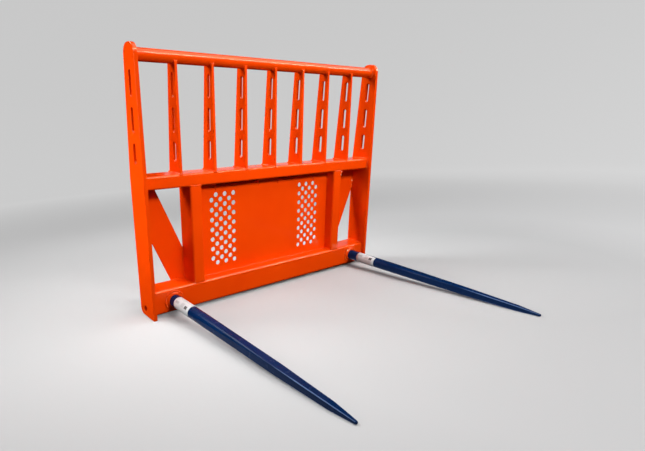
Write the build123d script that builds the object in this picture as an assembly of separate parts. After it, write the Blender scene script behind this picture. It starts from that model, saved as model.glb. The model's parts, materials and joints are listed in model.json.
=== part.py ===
from build123d import *
import math
import os

# Bale spear: a welded headboard frame that carries two cone-seated tines.
# Millimetres, +Z up. X runs across the frame and the tines point along -Y.
# Depths (y) are measured back from the front edges of the side plates and heights (z) from
# the floor. The export shifts y, so that the origin lies under the middle of the whole part.

# Frame outline
FRAME_WIDTH = 1220.0
FRAME_DEPTH = 120.0
PLATE_THICKNESS = 15.0
FACE_SETBACK = 20.0
SIDES = {"left": -1, "right": 1}

# Side plates
PLATE_TOP = 997.0
PLATE_TOP_DEPTH = 84.0
TOP_RADIUS = 36.0
TAPER_HEIGHT = 545.0
HEEL_RADIUS = 25.0
DRAIN_DIAMETER = 26.0
DRAIN_DEPTH = 72.0
DRAIN_HEIGHT = 30.0

# Top rail, a round tube between the plates' round tops
RAIL_DIAMETER = 44.5
RAIL_WALL = 4.0
RAIL_HEIGHT = 960.0
RAIL_DEPTH = 42.0

# Beams and posts, hollow sections
BEAM_DEPTH = FRAME_DEPTH - FACE_SETBACK
BOTTOM_BEAM_HEIGHT = 100.0
BOTTOM_BEAM_WALL = 6.0
BOTTOM_BEAM_CORNER = 12.0
GROUND_CLEARANCE = 10.0
MID_BEAM_HEIGHT = 50.0
MID_BEAM_WALL = 5.0
MID_BEAM_CORNER = 8.0
MID_BEAM_BASE = 503.5
POST_WIDTH = 50.0
POST_WALL = 5.0
POST_CORNER = 8.0
POST_CENTRE = 390.0

# Uprights of the headboard, flat bars on edge
UPRIGHT_COUNT = 7
UPRIGHT_PITCH = 150.0
UPRIGHT_THICKNESS = 10.0
UPRIGHT_BACK_AT_BASE = 110.0
UPRIGHT_BACK_AT_RAIL = 74.0
HORN_DROP = 12.0
COPE_GAP = 0.15

# Slots in plates and uprights: lowest height, length and width, top slot first
SLOTS = [(826.0, 86.0, 16.0), (703.0, 88.0, 18.0), (596.0, 74.0, 20.0)]

# Centre panel, one folded sheet with two perforated fields
PANEL_THICKNESS = 5.0
PANEL_DEPTH = 70.0
PANEL_TOP_GAP = 13.0
MIDDLE_TAB_HALF = 54.0
OUTER_TAB_START = 273.0
FLAP_LENGTH = 35.0
FLAP_BEND_RADIUS = 3.0
FLAP_RELIEF = 1.5
FLAP_ROOT_DROP = 20.0
HOLE_DIAMETER = 20.0
HOLE_COLUMNS = 6
HOLE_COLUMN_START = 186.0
HOLE_COLUMN_PITCH = 21.5
HOLE_ROW_PITCH = 42.0
HOLES_IN_LONG_COLUMN = 8
HOLE_FIELD_HEIGHT = 304.0

# Corner braces, flat plates flush with the back, coped to the sections' round corners
BRACE_THICKNESS = 8.0
BRACE_COPE = 4.0
BRACE_TOP_WIDTH = 69.5
BRACE_TOE_WIDTH = 61.0
BRACE_PLATE_HEIGHT = 398.0
BRACE_POST_HEIGHT = 241.0

# Tines: distances run forward from the front face of the bottom beam
TINE_SPREAD = 1020.0
TINE_HEIGHT = 60.0
TINE_LENGTH = 970.0
TINE_DIAMETER = 48.0
ROUND_LENGTH = 235.0
NOSE_DIAMETER = 34.0
FLAT_START = 200.0
POINT_START = 882.0
POINT_HALF_WIDTH = 10.3
TIP_HALF_WIDTH = 4.0
TIP_ROUNDING = 5.0
EDGE_RADII = (2.5, 2.0, 1.2)
CONE_SMALL_DIAMETER = 32.0
THREAD_DIAMETER = 28.0
THREAD_END = 138.0
THREAD_CHAMFER = 2.0

# Sockets, washers and nuts that hold the tines
SOCKET_DIAMETER = 60.0
SOCKET_FRONT = 8.0
SOCKET_REAR = 4.0
COLLAR_DIAMETER = 76.0
COLLAR_LENGTH = 7.0
SOCKET_HOLE_GAP = 0.15
WASHER_DIAMETER = 56.0
WASHER_THICKNESS = 4.0
NUT_ACROSS_FLATS = 41.0
NUT_HEIGHT = 24.0
NUT_CHAMFER_ANGLE = 30.0
THREAD_GAP = 0.1

# Wrap labels on the round part of each tine: start, length and the slanting open seam
LABEL_START = {"left": 40.0, "right": 66.0}
LABEL_LENGTH = 112.0
LABEL_GAP = 0.05
LABEL_THICKNESS = 0.4
LABEL_SEAM_ANGLE = {"left": 270.0, "right": 72.0}
LABEL_SEAM_WIDTH = 10.0
LABEL_SEAM_SKEW = 13.0

# Places worked out from the sizes above
INNER_HALF = FRAME_WIDTH / 2 - PLATE_THICKNESS
BEAM_MID_DEPTH = FACE_SETBACK + BEAM_DEPTH / 2
BOTTOM_BEAM_MIDDLE = GROUND_CLEARANCE + BOTTOM_BEAM_HEIGHT / 2
BOTTOM_BEAM_TOP = GROUND_CLEARANCE + BOTTOM_BEAM_HEIGHT
MID_BEAM_MIDDLE = MID_BEAM_BASE + MID_BEAM_HEIGHT / 2
MID_BEAM_TOP = MID_BEAM_BASE + MID_BEAM_HEIGHT
POST_INNER = POST_CENTRE - POST_WIDTH / 2
POST_OUTER = POST_CENTRE + POST_WIDTH / 2
SOCKET_LENGTH_BACK = BEAM_DEPTH + SOCKET_REAR
PART_MID_DEPTH = FACE_SETBACK + (THREAD_END - TINE_LENGTH) / 2


def across(sketch, start, thickness):
    """Extrude a side-view sketch (y, z) along X from start."""
    return extrude(Plane.YZ.offset(start) * sketch, amount=thickness)


def tube_section(width, height, wall, corner):
    """Hollow rectangular section with rounded corners."""
    outside = RectangleRounded(width, height, corner)
    inside = RectangleRounded(width - 2 * wall, height - 2 * wall, corner - wall / 2)
    return outside - inside


def plate_back(height):
    """Depth of the plate's tapered back edge at a height."""
    share = (height - TAPER_HEIGHT) / (PLATE_TOP - TAPER_HEIGHT)
    return FRAME_DEPTH + share * (PLATE_TOP_DEPTH - FRAME_DEPTH)


def slot_sketch():
    """The three slots that plates and uprights share, on the middle line of the plate."""
    lean = math.degrees(math.atan2(plate_back(RAIL_HEIGHT) - FRAME_DEPTH, RAIL_HEIGHT - TAPER_HEIGHT) / 2)
    slots = Sketch()
    for base, length, width in SLOTS:
        height = base + length / 2
        slots += Pos(plate_back(height) / 2, height) * Rot(0, 0, 90 - lean) * SlotOverall(length, width)
    return slots


def side_plate(side):
    """Outer plate: straight front, tapered back, round top, rounded heel, slots and drain hole."""
    foot = [(0, 0), (FRAME_DEPTH, 0)]
    top = [(PLATE_TOP_DEPTH, PLATE_TOP), (0, PLATE_TOP)]
    outline = make_face(Polyline(*foot, (FRAME_DEPTH, TAPER_HEIGHT), *top, close=True))
    heel = outline.vertices().sort_by_distance((FRAME_DEPTH, 0, 0))[0]
    outline = fillet(heel, HEEL_RADIUS)
    outline = fillet(outline.vertices().group_by(Axis.Y)[-1], TOP_RADIUS)
    outline -= slot_sketch()
    outline -= Pos(DRAIN_DEPTH, DRAIN_HEIGHT) * Circle(DRAIN_DIAMETER / 2)
    start = INNER_HALF if side > 0 else -FRAME_WIDTH / 2
    return across(outline, start, PLATE_THICKNESS)


def top_rail():
    """Round tube between the side plates."""
    ring = Circle(RAIL_DIAMETER / 2) - Circle(RAIL_DIAMETER / 2 - RAIL_WALL)
    return across(Pos(RAIL_DEPTH, RAIL_HEIGHT) * ring, -INNER_HALF, 2 * INNER_HALF)


def beam(section, middle_height):
    """Bar of a section between the side plates, flush with the back of the frame."""
    return across(Pos(BEAM_MID_DEPTH, middle_height) * section, -INNER_HALF, 2 * INNER_HALF)


def mid_beam():
    """Hollow beam that carries the uprights."""
    return beam(tube_section(BEAM_DEPTH, MID_BEAM_HEIGHT, MID_BEAM_WALL, MID_BEAM_CORNER), MID_BEAM_MIDDLE)


def bottom_beam():
    """Hollow bottom beam, bored front and back for the tine sockets."""
    section = tube_section(BEAM_DEPTH, BOTTOM_BEAM_HEIGHT, BOTTOM_BEAM_WALL, BOTTOM_BEAM_CORNER)
    tube = beam(section, BOTTOM_BEAM_MIDDLE)
    for side in SIDES.values():
        bore = extrude(Circle(SOCKET_DIAMETER / 2 + SOCKET_HOLE_GAP), amount=BEAM_DEPTH, both=True)
        tube -= tine_plane(side) * bore
    return tube


def post(section, side):
    """Bar of a section between the two beams."""
    foot = Plane((side * POST_CENTRE, BEAM_MID_DEPTH, BOTTOM_BEAM_TOP))
    return extrude(foot * section, amount=MID_BEAM_BASE - BOTTOM_BEAM_TOP)


def inner_post(side):
    """Hollow post between the two beams."""
    return post(tube_section(POST_WIDTH, BEAM_DEPTH, POST_WALL, POST_CORNER), side)


def upright(centre):
    """Tapered, slotted flat bar that stands on the mid beam and is coped round the top rail."""
    top = RAIL_HEIGHT - HORN_DROP
    lean = (UPRIGHT_BACK_AT_RAIL - UPRIGHT_BACK_AT_BASE) / (RAIL_HEIGHT - MID_BEAM_TOP)
    top_back = UPRIGHT_BACK_AT_BASE + lean * (top - MID_BEAM_TOP)
    base_front = (FACE_SETBACK, MID_BEAM_TOP)
    base_back = (UPRIGHT_BACK_AT_BASE, MID_BEAM_TOP)
    edges = Polyline(base_front, base_back, (top_back, top), (FACE_SETBACK, top), close=True)
    outline = make_face(edges) - slot_sketch()
    outline -= Pos(RAIL_DEPTH, RAIL_HEIGHT) * Circle(RAIL_DIAMETER / 2 + COPE_GAP)
    return across(outline, centre - UPRIGHT_THICKNESS / 2, UPRIGHT_THICKNESS)


def hole_field():
    """Staggered round holes of both perforated fields, as a front-view sketch (x, z)."""
    holes = []
    for column in range(HOLE_COLUMNS):
        count = HOLES_IN_LONG_COLUMN - column % 2
        for row in range(count):
            height = HOLE_FIELD_HEIGHT + (row - (count - 1) / 2) * HOLE_ROW_PITCH
            for side in SIDES.values():
                holes.append(Pos(side * (HOLE_COLUMN_START + column * HOLE_COLUMN_PITCH), height))
    return [hole * Circle(HOLE_DIAMETER / 2) for hole in holes]


def panel_flap(start, end):
    """Top edge of the sheet between two tabs, folded back and then up to the mid beam."""
    top = MID_BEAM_BASE - PANEL_TOP_GAP
    root = top - FLAP_ROOT_DROP
    inside = PANEL_DEPTH + PANEL_THICKNESS
    under = top - PANEL_THICKNESS
    tail = PANEL_DEPTH + FLAP_LENGTH
    lip = tail - PANEL_THICKNESS
    front = [(inside, root), (PANEL_DEPTH, root), (PANEL_DEPTH, top), (lip, top)]
    back = [(lip, MID_BEAM_BASE), (tail, MID_BEAM_BASE), (tail, under), (inside, under)]
    outline = make_face(Polyline(*front, *back, close=True))
    outer_bend = FLAP_BEND_RADIUS + PANEL_THICKNESS
    bends = {
        (PANEL_DEPTH, top): outer_bend,
        (lip, top): FLAP_BEND_RADIUS,
        (tail, under): outer_bend,
        (inside, under): FLAP_BEND_RADIUS,
    }
    for corner, radius in bends.items():
        outline = fillet(outline.vertices().sort_by_distance((*corner, 0))[0], radius)
    return across(outline, start, end - start)


def centre_panel():
    """Perforated sheet between posts and beams, with welded tabs and folded flaps on top."""
    sheet_top = MID_BEAM_BASE - PANEL_TOP_GAP - FLAP_ROOT_DROP
    tab_mid = (BOTTOM_BEAM_TOP + MID_BEAM_BASE) / 2
    tab_height = MID_BEAM_BASE - BOTTOM_BEAM_TOP
    outer_tab = POST_INNER - OUTER_TAB_START
    sheet = Pos(0, (BOTTOM_BEAM_TOP + sheet_top) / 2) * Rectangle(2 * POST_INNER, sheet_top - BOTTOM_BEAM_TOP)
    sheet += Pos(0, tab_mid) * Rectangle(2 * MIDDLE_TAB_HALF, tab_height)
    for side in SIDES.values():
        sheet += Pos(side * (POST_INNER - outer_tab / 2), tab_mid) * Rectangle(outer_tab, tab_height)
    sheet -= hole_field()
    panel = extrude(Plane.XZ.offset(-PANEL_DEPTH) * sheet, amount=-PANEL_THICKNESS)
    flap_inner = MIDDLE_TAB_HALF + FLAP_RELIEF
    flap_outer = OUTER_TAB_START - FLAP_RELIEF
    panel += panel_flap(flap_inner, flap_outer)
    panel += panel_flap(-flap_outer, -flap_inner)
    return panel


def brace(side):
    """Flat strip from the plate's top corner down to the foot of the post."""
    outline = [
        (INNER_HALF, MID_BEAM_BASE + BRACE_COPE),
        (INNER_HALF - BRACE_TOP_WIDTH, MID_BEAM_BASE + BRACE_COPE),
        (INNER_HALF - BRACE_TOP_WIDTH, MID_BEAM_BASE),
        (POST_OUTER, BRACE_POST_HEIGHT),
        (POST_OUTER - BRACE_COPE, BRACE_POST_HEIGHT),
        (POST_OUTER - BRACE_COPE, BOTTOM_BEAM_TOP),
        (POST_OUTER, BOTTOM_BEAM_TOP),
        (POST_OUTER, BOTTOM_BEAM_TOP - BRACE_COPE),
        (POST_OUTER + BRACE_TOE_WIDTH, BOTTOM_BEAM_TOP - BRACE_COPE),
        (POST_OUTER + BRACE_TOE_WIDTH, BOTTOM_BEAM_TOP),
        (INNER_HALF, BRACE_PLATE_HEIGHT),
    ]
    edges = Polyline([(side * across_frame, height) for across_frame, height in outline], close=True)
    strip = extrude(Plane.XZ.offset(-FRAME_DEPTH) * make_face(edges), amount=BRACE_THICKNESS)
    strip -= beam(RectangleRounded(BEAM_DEPTH, BOTTOM_BEAM_HEIGHT, BOTTOM_BEAM_CORNER), BOTTOM_BEAM_MIDDLE)
    strip -= beam(RectangleRounded(BEAM_DEPTH, MID_BEAM_HEIGHT, MID_BEAM_CORNER), MID_BEAM_MIDDLE)
    strip -= post(RectangleRounded(POST_WIDTH, BEAM_DEPTH, POST_CORNER), side)
    return strip


def tine_plane(side):
    """Plane on the beam's front face at a tine's axis, with its normal pointing forward."""
    return Plane((side * TINE_SPREAD / 2, FACE_SETBACK, TINE_HEIGHT), x_dir=(1, 0, 0), z_dir=(0, -1, 0))


def turned(*points):
    """Solid of revolution about the tine's axis from (radius, distance) points."""
    return revolve(Plane.XZ * make_face(Polyline(*points, close=True)), Axis.Z)


def cone_radius(distance):
    """Radius of the tine's cone seat at a distance from the beam's front face."""
    share = (distance + SOCKET_LENGTH_BACK) / (SOCKET_FRONT + SOCKET_LENGTH_BACK)
    return (CONE_SMALL_DIAMETER + share * (TINE_DIAMETER - CONE_SMALL_DIAMETER)) / 2


def tine_socket(side):
    """Bush through the bottom beam: cone bore, welded collar in front, seat for the washer behind."""
    radius = SOCKET_DIAMETER / 2
    bush = turned(
        (cone_radius(-SOCKET_LENGTH_BACK), -SOCKET_LENGTH_BACK), (radius, -SOCKET_LENGTH_BACK),
        (radius, 0), (COLLAR_DIAMETER / 2, 0), (radius, COLLAR_LENGTH),
        (radius, SOCKET_FRONT), (cone_radius(SOCKET_FRONT), SOCKET_FRONT),
    )
    return tine_plane(side) * bush


def tine_body():
    """Round bar with a cone seat and a thread behind, and four flats that taper to a point."""
    cone_end = -BEAM_DEPTH
    thread = THREAD_DIAMETER / 2
    bar = turned(
        (0, -THREAD_END), (thread - THREAD_CHAMFER, -THREAD_END), (thread, THREAD_CHAMFER - THREAD_END),
        (thread, cone_end), (cone_radius(cone_end), cone_end), (TINE_DIAMETER / 2, SOCKET_FRONT),
        (TINE_DIAMETER / 2, ROUND_LENGTH), (NOSE_DIAMETER / 2, TINE_LENGTH), (0, TINE_LENGTH),
    )
    stations = [
        (FLAT_START, TINE_DIAMETER / 2, EDGE_RADII[0]),
        (POINT_START, POINT_HALF_WIDTH, EDGE_RADII[1]),
        (TINE_LENGTH, TIP_HALF_WIDTH, EDGE_RADII[2]),
    ]
    sections = [Pos(0, 0, at) * RectangleRounded(2 * half, 2 * half, edge) for at, half, edge in stations]
    flats = loft(sections, ruled=True)
    shank = extrude(Pos(0, 0, -THREAD_END) * Circle(TINE_DIAMETER), amount=THREAD_END + FLAT_START)
    reach = TINE_LENGTH + THREAD_END
    tip = Pos(0, 0, TINE_LENGTH - TIP_ROUNDING) * Sphere(TIP_ROUNDING)
    behind_tip = extrude(Pos(0, 0, -THREAD_END) * Circle(TINE_DIAMETER), amount=reach - TIP_ROUNDING)
    return bar & (flats + shank) & (behind_tip + tip)


def tine(side):
    """One tine, seated in its socket."""
    return tine_plane(side) * tine_body()


def tine_washer(side):
    """Flat washer on the back of the socket."""
    ring = Circle(WASHER_DIAMETER / 2) - Circle(THREAD_DIAMETER / 2 + THREAD_GAP)
    seat = Pos(0, 0, -SOCKET_LENGTH_BACK - WASHER_THICKNESS)
    return tine_plane(side) * seat * extrude(ring, amount=WASHER_THICKNESS)


def tine_nut(side):
    """Hexagon nut with turned corners on both faces."""
    flat = NUT_ACROSS_FLATS / 2
    corner = flat / math.cos(math.radians(30))
    drop = (corner - flat) * math.tan(math.radians(NUT_CHAMFER_ANGLE))
    bore = THREAD_DIAMETER / 2 + THREAD_GAP
    hexagon = extrude(RegularPolygon(flat, 6, major_radius=False), amount=NUT_HEIGHT)
    front_face = [(bore, 0), (flat, 0), (corner, drop)]
    back_face = [(corner, NUT_HEIGHT - drop), (flat, NUT_HEIGHT), (bore, NUT_HEIGHT)]
    turned_blank = turned(*front_face, *back_face)
    seat = Pos(0, 0, -SOCKET_LENGTH_BACK - WASHER_THICKNESS - NUT_HEIGHT)
    return tine_plane(side) * seat * (hexagon & turned_blank)


def tine_label(name):
    """Plain wrap round the tine, in front of its socket, with a seam that doesn't quite close."""
    inner = TINE_DIAMETER / 2 + LABEL_GAP
    ring = Circle(inner + LABEL_THICKNESS) - Circle(inner)
    half = LABEL_SEAM_WIDTH / 2
    lean = LABEL_SEAM_SKEW / 2
    near_end = [(lean - half, 0), (lean + half, 0)]
    far_end = [(half - lean, LABEL_LENGTH), (-half - lean, LABEL_LENGTH)]
    seam = extrude(Plane.XZ * make_face(Polyline(*near_end, *far_end, close=True)), amount=-TINE_DIAMETER)
    wrap = extrude(ring, amount=LABEL_LENGTH) - seam
    turn = Rot(0, 0, LABEL_SEAM_ANGLE[name] - 90)
    return tine_plane(SIDES[name]) * Pos(0, 0, LABEL_START[name]) * turn * wrap


def all_pieces():
    """Every piece of the bale spear by name, in the frame's own depths and heights."""
    pieces = {
        "top_rail": top_rail(),
        "mid_beam": mid_beam(),
        "bottom_beam": bottom_beam(),
        "centre_panel": centre_panel(),
    }
    for number in range(UPRIGHT_COUNT):
        centre = (number - (UPRIGHT_COUNT - 1) / 2) * UPRIGHT_PITCH
        pieces[f"upright_{number + 1}"] = upright(centre)
    for name, side in SIDES.items():
        pieces[f"side_plate_{name}"] = side_plate(side)
        pieces[f"inner_post_{name}"] = inner_post(side)
        pieces[f"brace_{name}"] = brace(side)
        pieces[f"tine_socket_{name}"] = tine_socket(side)
        pieces[f"tine_{name}"] = tine(side)
        pieces[f"tine_washer_{name}"] = tine_washer(side)
        pieces[f"tine_nut_{name}"] = tine_nut(side)
        pieces[f"tine_label_{name}"] = tine_label(name)
    return pieces


def main():
    """Write one STEP file for each piece, with the origin under the middle of the part."""
    os.makedirs("parts", exist_ok=True)
    for name, piece in all_pieces().items():
        export_step(Pos(0, -PART_MID_DEPTH, 0) * piece, f"parts/{name}.step")


if __name__ == "__main__":
    main()
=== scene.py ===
import json
import math

import bmesh
import bpy
from bpy.props import FloatProperty, FloatVectorProperty, IntProperty, PointerProperty
from mathutils import Euler, Matrix, Vector

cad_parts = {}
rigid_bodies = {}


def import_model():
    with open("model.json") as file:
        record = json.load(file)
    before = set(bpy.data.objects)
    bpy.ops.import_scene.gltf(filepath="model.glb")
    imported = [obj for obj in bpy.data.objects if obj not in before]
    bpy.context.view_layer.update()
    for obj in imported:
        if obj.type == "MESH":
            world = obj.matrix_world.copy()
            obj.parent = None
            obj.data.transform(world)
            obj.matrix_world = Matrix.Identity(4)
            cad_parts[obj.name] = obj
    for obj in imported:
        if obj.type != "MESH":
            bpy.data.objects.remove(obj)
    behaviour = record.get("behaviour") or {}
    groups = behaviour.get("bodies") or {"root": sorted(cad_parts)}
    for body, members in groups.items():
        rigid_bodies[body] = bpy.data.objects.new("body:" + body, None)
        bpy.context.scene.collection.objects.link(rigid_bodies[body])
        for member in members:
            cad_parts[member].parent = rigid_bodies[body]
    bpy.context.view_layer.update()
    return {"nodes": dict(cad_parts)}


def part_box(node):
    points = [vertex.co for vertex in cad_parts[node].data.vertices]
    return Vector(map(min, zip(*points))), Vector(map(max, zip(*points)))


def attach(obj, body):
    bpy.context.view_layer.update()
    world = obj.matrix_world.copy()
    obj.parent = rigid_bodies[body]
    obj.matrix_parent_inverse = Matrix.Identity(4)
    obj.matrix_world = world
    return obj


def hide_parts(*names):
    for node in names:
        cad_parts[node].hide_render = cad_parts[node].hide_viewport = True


bl_info = {
    "name": "Bale spear",
    "version": (1, 0, 0),
    "blender": (4, 5, 0),
    "location": "3D View > Sidebar > Bale spear",
    "description": "Finishes a welded bale spear: eased edges, weld beads, paint and a studio stage",
    "category": "Object",
}

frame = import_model()
BODY = "root"
SIDES = ("left", "right")

# Photograph: image size, focal length and principal point in pixels. The camera's place is in
# metres from the floor midway between the front edges of the side plates, its turn in degrees.
IMAGE_WIDTH = 645
IMAGE_HEIGHT = 451
FOCAL_PIXELS = 464.693
CENTRE_PIXEL = (277.22, 257.52)
SENSOR_WIDTH = 36.0
CAMERA_PLACE = (-1.26847, -1.57029, 0.79288)
CAMERA_TURN = (72.1822, -0.5728, -38.7215)

# Lights: place, point that it faces, width and height in metres, beam angle in degrees
LIGHTS = {
    "key": ((-1.9, 2.4, 2.9), (0.0, 0.45, 0.7), (1.6, 1.6), 70.0),
    "side": ((-2.2, 0.6, 0.95), (-0.61, 0.45, 0.50), (0.9, 0.9), 54.0),
    "front": ((0.0, -2.4, 2.2), (0.0, 0.45, 0.62), (1.8, 0.6), 44.0),
    "top": ((3.2, -1.2, 4.2), (3.2, -1.2, 0.0), (5.4, 5.0), 180.0),
    "floor": ((0.9, -0.9, 4.5), (0.9, -0.9, 0.0), (3.0, 3.0), 180.0),
    "back": ((2.6, 3.6, 0.9), (0.0, 0.45, 0.5), (3.0, 1.8), 180.0),
    "edge": ((2.8, -2.4, 3.8), (2.8, -2.4, 0.0), (6.0, 0.4), 180.0),
    "bounce": ((-0.2, -0.2, -0.25), (-0.2, -0.2, 1.0), (3.0, 2.4), 180.0),
}

# Lights that do part of the work: one is never reflected, one only is, and one is for the tines alone
UNREFLECTED_LIGHT = "floor"
REFLECTED_LIGHT = "edge"
TINE_LIGHT = "bounce"

# Studio paper: the point from which it changes, and the shares of the floor's radius between which
# it takes the wall's colour and between which its glow grows
PAPER_CENTRE = (1.0, 0.0, 0.0)
PAPER_FADE = (0.3, 1.0)
PAPER_GLOW = (0.16, 0.95)
COVE_STEPS = 16
ROOM_COLOUR = (0.95, 0.97, 1.0)

# Copies of the solids: points closer than this are one, and faces that turn less than this are one
MERGE_DISTANCE = 2e-6
FLAT_ANGLE = math.radians(0.4)

# Points of a solid that are closer than this to a plane lie on it, more loosely on a brace's copes
ON_PLANE = 1e-5
ON_COPE = 0.001

# Corner radii of the hollow sections, which the beads follow
BOTTOM_BEAM_CORNER = 0.012
MID_BEAM_CORNER = 0.008
POST_CORNER = 0.008

# Where beads lie: at an upright's toe, as a share of the beam's corner and a share of that downwards,
# how far a post's bead sinks into the beam, and how far inside a collar's rim its bead runs
TOE_FILL = 0.4
TOE_DROP = 0.7
POST_BEAD_SINK = POST_CORNER / 8
COLLAR_BEAD_INSET = 0.001

# Stitches on the panel: length, and places on its sides as shares of its height
STITCH_LENGTH = 0.045
STITCH_SHARES = (0.12, 0.5, 0.88)

# Ends of the panel's flaps, closed by weld: distance from the middle, foot of the notch and slit
# below the mid beam, depth of the flap, and layers of bead that close it
FLAP_ENDS = (0.05475, 0.27225)
FLAP_FOOT = 0.033
FLAP_GAP = 0.013
FLAP_DEPTH = 0.034
FLAP_LAYERS = 4

# Tines: distances forward from the front face of the bottom beam, and radii or half widths there
THREAD_END = -0.138
THREAD_RADIUS = 0.014
THREAD_CHAMFER = 0.002
CONE_END = -0.100
CONE_END_RADIUS = 0.01629
CONE_FRONT = 0.008
FLAT_START = 0.200
ROUND_LENGTH = 0.235
NOSE_RADIUS = 0.017
POINT_START = 0.882
POINT_HALF_WIDTH = 0.0103
TIP_HALF_WIDTH = 0.004
TIP_ROUNDING = 0.005

# Arrises: rounding where the flats start, where the point starts and at the tip, and how far inside
# the round bar they lie where their painted highlight begins to show and where it is full
ARRIS_RADII = (0.0025, 0.0020, 0.0012)
ARRIS_HIGHLIGHT_CLEAR = (-0.0005, 0.0015)

# Rings of a tine's grid: the first ones, with sharp edges, those on the flats, which lie closer
# where the flats start, those on the point and those round the tip
SHARP_RINGS = 4
FLAT_RINGS = 110
FLAT_EASE = 1.5
POINT_RINGS = 16
TIP_RINGS = 10

# Thread: share of its depth by which its middle lies under the bar's surface, and how many depths
# are left free at the tine's end
THREAD_SINK = 1 / 6
THREAD_RUN_OUT = 2

# Turns round a label are counted from this share of a turn before the underside of its tine
SEAM_LEAD = 0.25

# Fields printed on a label: share of a turn from underneath, share of its length, grey level
LABEL_FIELDS = (
    ((0.60, 0.66), (0.08, 0.30), 0.36),
    ((0.56, 0.68), (0.46, 0.64), 0.42),
    ((0.60, 0.68), (0.70, 0.86), 0.06),
)


class EdgeSettings(bpy.types.PropertyGroup):
    """How far sharp edges are eased before painting."""

    plate: FloatProperty(
        name="Plate edge", description="Rounding of flame-cut plate edges", default=0.0011, unit="LENGTH"
    )
    section: FloatProperty(
        name="Section edge", description="Rounding of sawn tube ends", default=0.0007, unit="LENGTH"
    )
    sheet: FloatProperty(
        name="Sheet edge", description="Rounding of the panel's edges and holes", default=0.0008,
        unit="LENGTH",
    )
    fixing: FloatProperty(
        name="Fixing edge", description="Rounding of nuts and washers", default=0.0005, unit="LENGTH"
    )
    crease: FloatProperty(
        name="Crease angle",
        description="Edges that turn more than this are eased",
        default=math.radians(38.0),
        subtype="ANGLE",
    )
    steps: IntProperty(name="Steps", description="Facets across an eased edge", default=2, min=1, max=4)


class WeldSettings(bpy.types.PropertyGroup):
    """Size and rhythm of the weld beads."""

    radius: FloatProperty(
        name="Bead radius", description="Size of a bead across the seam", default=0.0036, unit="LENGTH"
    )
    ripple: FloatProperty(
        name="Ripple length", description="Half length of one ripple", default=0.0028, unit="LENGTH"
    )
    pitch: FloatProperty(
        name="Ripple pitch", description="Distance between ripples", default=0.0030, unit="LENGTH"
    )
    variation: FloatProperty(
        name="Variation", description="Share by which ripples differ in size", default=0.16, subtype="FACTOR"
    )
    seed: IntProperty(name="Seed", description="Choice of the ripples' sizes", default=11)


class ThreadSettings(bpy.types.PropertyGroup):
    """Thread on the rear end of a tine."""

    pitch: FloatProperty(name="Pitch", description="Distance between crests", default=0.003, unit="LENGTH")
    depth: FloatProperty(name="Depth", description="Height of a crest", default=0.0012, unit="LENGTH")


class FinishSettings(bpy.types.PropertyGroup):
    """Colours of the finishes."""

    frame_paint: FloatVectorProperty(
        name="Frame paint", description="Powder coat on the frame", default=(0.85, 0.059, 0.0008),
        subtype="COLOR",
    )
    frame_paint_deep: FloatVectorProperty(
        name="Frame paint, deep", description="Where the coat lies thicker", default=(0.81, 0.052, 0.0008),
        subtype="COLOR",
    )
    frame_sheen: FloatVectorProperty(
        name="Frame sheen", description="Tint of what the coat reflects", default=(1.0, 0.95, 0.60),
        subtype="COLOR",
    )
    tine_paint: FloatVectorProperty(
        name="Tine paint", description="Enamel on the tines", default=(0.0010, 0.012, 0.052), subtype="COLOR"
    )
    tine_paint_pale: FloatVectorProperty(
        name="Tine paint, pale", description="Where the enamel lies thinner",
        default=(0.0013, 0.015, 0.064), subtype="COLOR",
    )
    # Painted highlight: a pale blue laid on the tines' arrises where the light would catch them
    tine_arris_highlight: FloatVectorProperty(
        name="Tine arris", description="Where the enamel is rubbed pale on the arrises",
        default=(0.09, 0.15, 0.30), subtype="COLOR",
    )
    zinc: FloatVectorProperty(
        name="Zinc", description="Plating on nuts and washers", default=(0.62, 0.63, 0.64), subtype="COLOR"
    )
    zinc_dull: FloatVectorProperty(
        name="Zinc, dull", description="Duller patches of the plating", default=(0.42, 0.43, 0.42),
        subtype="COLOR",
    )
    label: FloatVectorProperty(
        name="Label", description="Film of the wrap labels", default=(0.53, 0.54, 0.545), subtype="COLOR"
    )


class StageSettings(bpy.types.PropertyGroup):
    """Floor and light of the studio."""

    floor: FloatVectorProperty(
        name="Floor", description="Colour of the floor", default=(0.42, 0.42, 0.422), subtype="COLOR"
    )
    wall: FloatVectorProperty(
        name="Wall", description="Colour of the wall", default=(0.14, 0.14, 0.141), subtype="COLOR"
    )
    glow: FloatProperty(name="Paper glow", description="Light that comes through the paper", default=0.56)
    floor_radius: FloatProperty(
        name="Floor radius", description="Flat part of the floor", default=5.0, unit="LENGTH"
    )
    cove_radius: FloatProperty(
        name="Cove radius", description="Curve between floor and wall", default=2.5, unit="LENGTH"
    )
    wall_height: FloatProperty(
        name="Wall height", description="Straight wall above the cove", default=2.5, unit="LENGTH"
    )
    key_power: FloatProperty(
        name="Key light", description="Power of the light behind the left plate", default=25.0, unit="POWER"
    )
    side_power: FloatProperty(
        name="Side light", description="Power of the light beside the left plate", default=4.6, unit="POWER"
    )
    front_power: FloatProperty(
        name="Front light", description="Power of the light before the frame", default=9.5, unit="POWER"
    )
    top_power: FloatProperty(
        name="Top light", description="Power of the panel that edges and the rail reflect", default=170.0,
        unit="POWER",
    )
    floor_power: FloatProperty(
        name="Floor light", description="Power of the light straight above", default=120.0, unit="POWER"
    )
    back_power: FloatProperty(
        name="Back light", description="Power of the panel that upper faces reflect", default=7.0,
        unit="POWER",
    )
    edge_power: FloatProperty(
        name="Edge strip", description="Power of the strip that rounded edges reflect", default=300.0,
        unit="POWER",
    )
    bounce_power: FloatProperty(
        name="Bounced light", description="Power of the light that the tines get from the floor",
        default=17.0, unit="POWER",
    )
    sky: FloatProperty(
        name="Room light", description="Strength of the even light from all round", default=0.06
    )


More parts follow.
